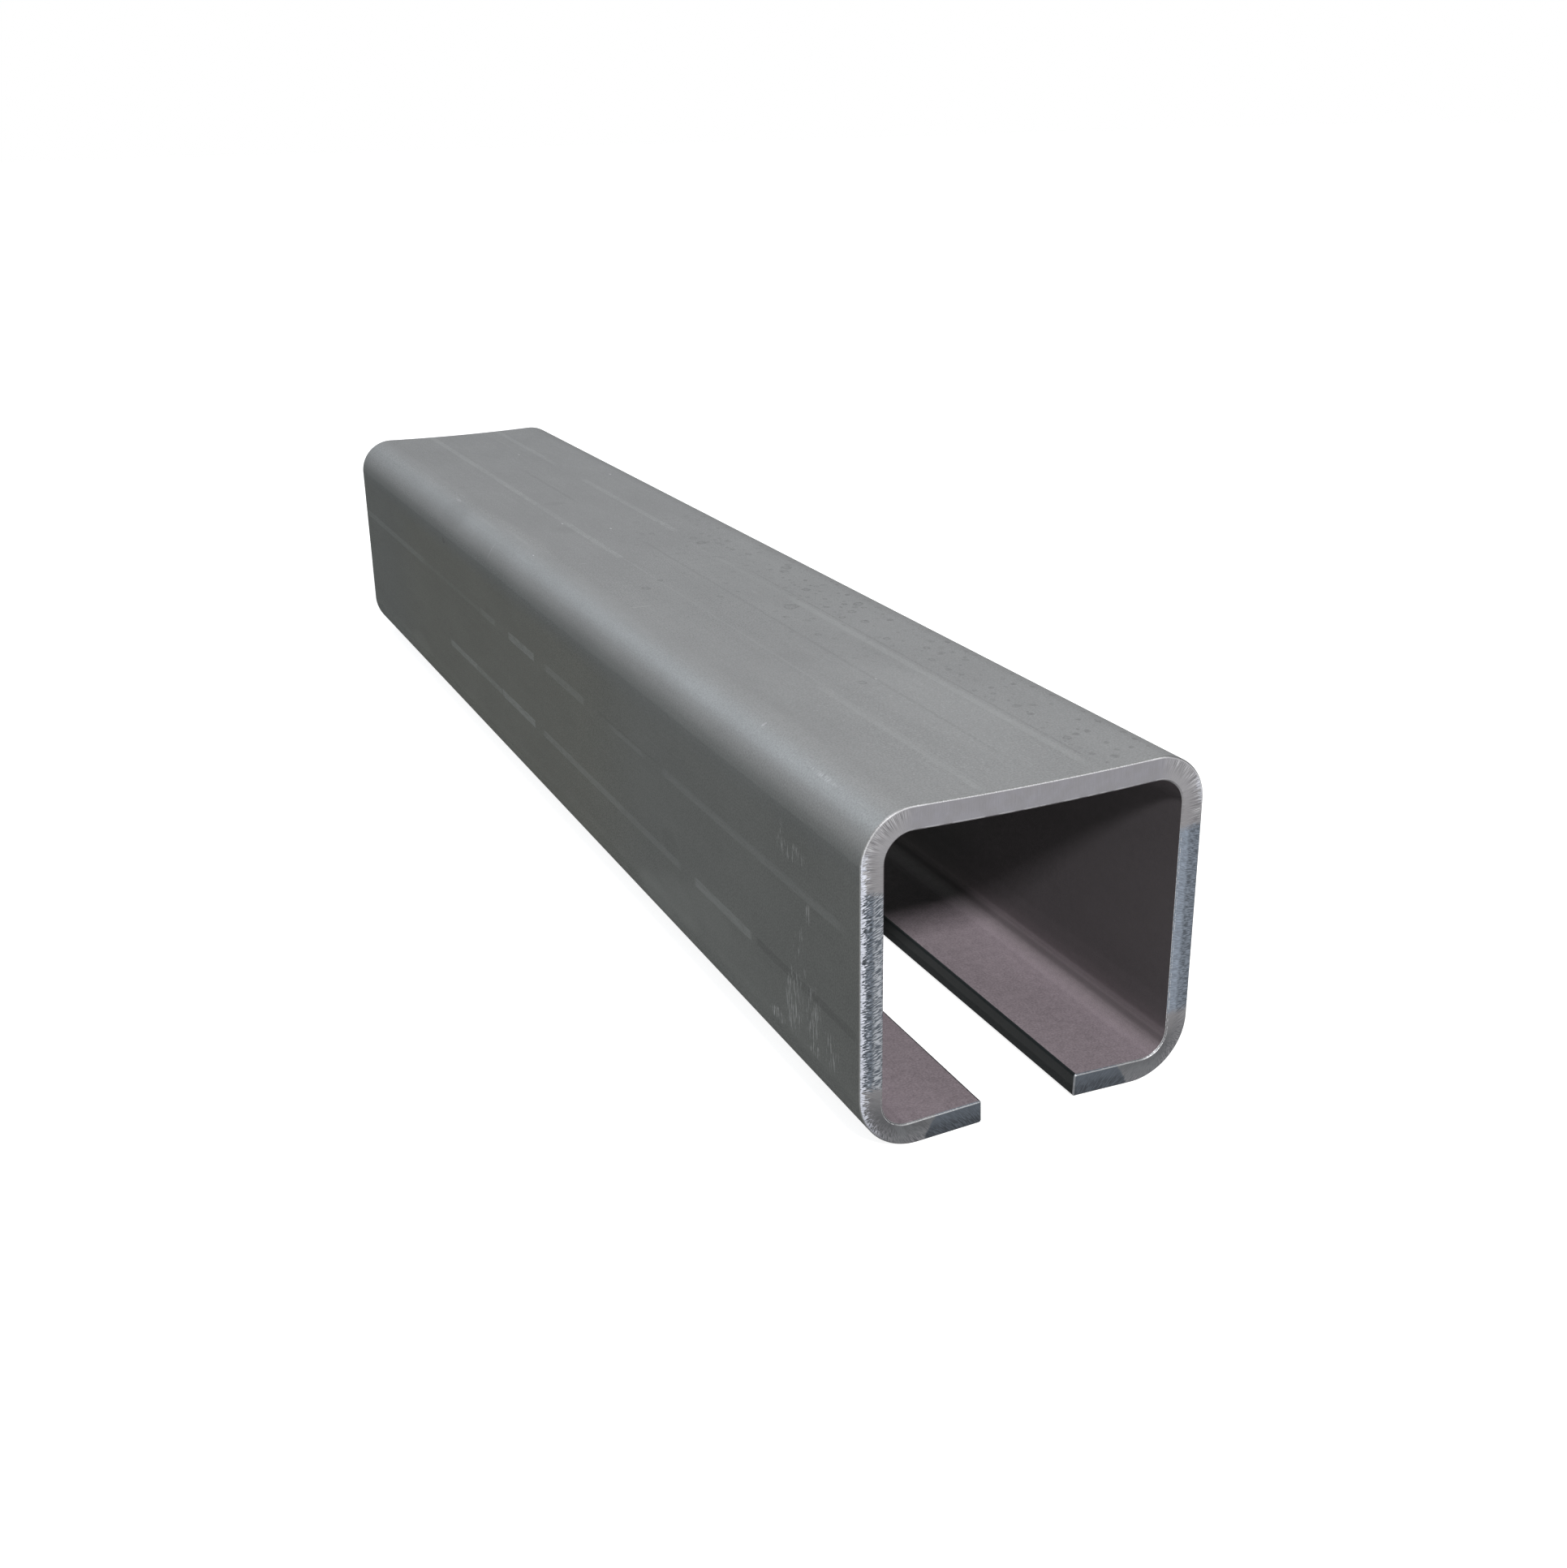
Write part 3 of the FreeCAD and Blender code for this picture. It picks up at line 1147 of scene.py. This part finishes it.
# The camera's place in metres, and its turn in degrees from looking level along +Y.
CAMERA_PLACE = (-0.171509, -0.460096, 0.192437)
CAMERA_HEADING, CAMERA_DIP, CAMERA_LEAN = -24.679, 21.546, -0.88


def soft_lamp(scene, name, power, size, place, aim, colour):
    """A soft oblong lamp at a place, turned to what it lights."""
    lamp = bpy.data.lights.new(name, "AREA")
    lamp.shape = "RECTANGLE"
    lamp.size, lamp.size_y = size
    lamp.energy = power
    lamp.color = colour
    holder = bpy.data.objects.new(name, lamp)
    towards = Vector(aim) - Vector(place)
    holder.rotation_euler = towards.to_track_quat("-Z", "Y").to_euler()
    holder.location = place
    scene.collection.objects.link(holder)
    return holder


def seen_by_camera(tree):
    """One for rays straight from the camera, and zero for the others."""
    return out(node(tree, "ShaderNodeLightPath"), "Is Camera Ray")


def lay_floor(scene, studio):
    """A pale floor that the camera sees as white, with the rail's shadow on it."""
    bm = bmesh.new()
    bmesh.ops.create_grid(bm, x_segments=1, y_segments=1, size=FLOOR_HALF)
    mesh = bpy.data.meshes.new("floor")
    bm.to_mesh(mesh)
    bm.free()
    floor = bpy.data.objects.new("floor", mesh)
    scene.collection.objects.link(floor)

    material, tree = new_material("pale_floor")
    inputs = {"Base Color": (*studio.floor, 1), "Roughness": 0.9, "Specular IOR Level": 0}
    matt = out(node(tree, "ShaderNodeBsdfPrincipled", inputs))
    strength = fade(distance(object_place(tree)), 0.4, 1.6, 0.9, 1)
    glow = node(tree, "ShaderNodeEmission", {"Color": WHITE, "Strength": strength})
    both = node(tree, "ShaderNodeAddShader", {0: matt, 1: out(glow)})
    inputs = {0: seen_by_camera(tree), 1: matt, 2: out(both)}
    chosen = node(tree, "ShaderNodeMixShader", inputs)
    node(tree, "ShaderNodeOutputMaterial", {"Surface": out(chosen)})
    mesh.materials.append(material)


def set_even_light(scene, studio):
    """Weak light from all round, and a white background for the camera."""
    world = bpy.data.worlds.new("even_light")
    scene.world = world
    world.use_nodes = True
    tree = world.node_tree
    tree.nodes.clear()
    strength = fade(seen_by_camera(tree), 0, 1, studio.ambient, 1)
    sky = node(tree, "ShaderNodeBackground", {"Color": WHITE, "Strength": strength})
    node(tree, "ShaderNodeOutputWorld", {"Surface": out(sky)})


def set_camera(scene, studio):
    """The camera at the photograph's place and angle."""
    lens = bpy.data.cameras.new("camera")
    lens.lens = studio.lens
    lens.sensor_width = 36
    lens.clip_start = 0.01
    camera = bpy.data.objects.new("camera", lens)
    turn = (
        Matrix.Rotation(math.radians(CAMERA_HEADING), 4, "Z")
        @ Matrix.Rotation(math.radians(90 - CAMERA_DIP), 4, "X")
        @ Matrix.Rotation(math.radians(CAMERA_LEAN), 4, "Z")
    )
    camera.matrix_world = Matrix.Translation(CAMERA_PLACE) @ turn
    scene.collection.objects.link(camera)
    scene.camera = camera


class GateTrackStage(bpy.types.Operator):
    """Set the floor, the lamps, the even light and the camera"""

    bl_idname = "gate_track.set_stage"
    bl_label = "Set the stage"

    def execute(self, context):
        scene = context.scene
        studio = scene.guide_track_studio
        lay_floor(scene, studio)
        set_even_light(scene, studio)
        lamps = {
            name: soft_lamp(scene, name, getattr(studio, setting), *rest)
            for name, setting, *rest in LAMPS
        }
        lamps["left_fill"].data.use_shadow = False
        lamps["inside_lamp"].visible_camera = False
        set_camera(scene, studio)
        scene.view_settings.view_transform = "Standard"
        return {"FINISHED"}


class GateTrackPanel(bpy.types.Panel):
    """Lists what the script builds and what can be changed"""

    bl_idname = "VIEW3D_PT_gate_track"
    bl_label = "Gate guide track"
    bl_space_type = "VIEW_3D"
    bl_region_type = "UI"
    bl_category = "Gate track"

    def draw(self, context):
        layout = self.layout
        for group in SETTINGS:
            box = layout.box()
            settings = getattr(context.scene, group)
            for name in settings.__annotations__:
                box.prop(settings, name)
        layout.operator(GateTrackBuildRail.bl_idname)
        layout.operator(GateTrackStage.bl_idname)


SETTINGS = {
    "guide_track_sizes": GuideTrackSizes,
    "guide_track_finish": GuideTrackFinish,
    "guide_track_studio": StudioSetup,
}
CLASSES = (*SETTINGS.values(), GateTrackBuildRail, GateTrackStage, GateTrackPanel)


def register():
    """Adds the settings, the operators and the panel to Blender."""
    for cls in CLASSES:
        bpy.utils.register_class(cls)
    for name, group in SETTINGS.items():
        setattr(bpy.types.Scene, name, bpy.props.PointerProperty(type=group))


def unregister():
    """Takes them away again."""
    for name in SETTINGS:
        delattr(bpy.types.Scene, name)
    for cls in reversed(CLASSES):
        bpy.utils.unregister_class(cls)


def main():
    """Builds the rail and the studio."""
    register()
    bpy.ops.gate_track.build_rail()
    bpy.ops.gate_track.set_stage()


if __name__ == "__main__":
    main()
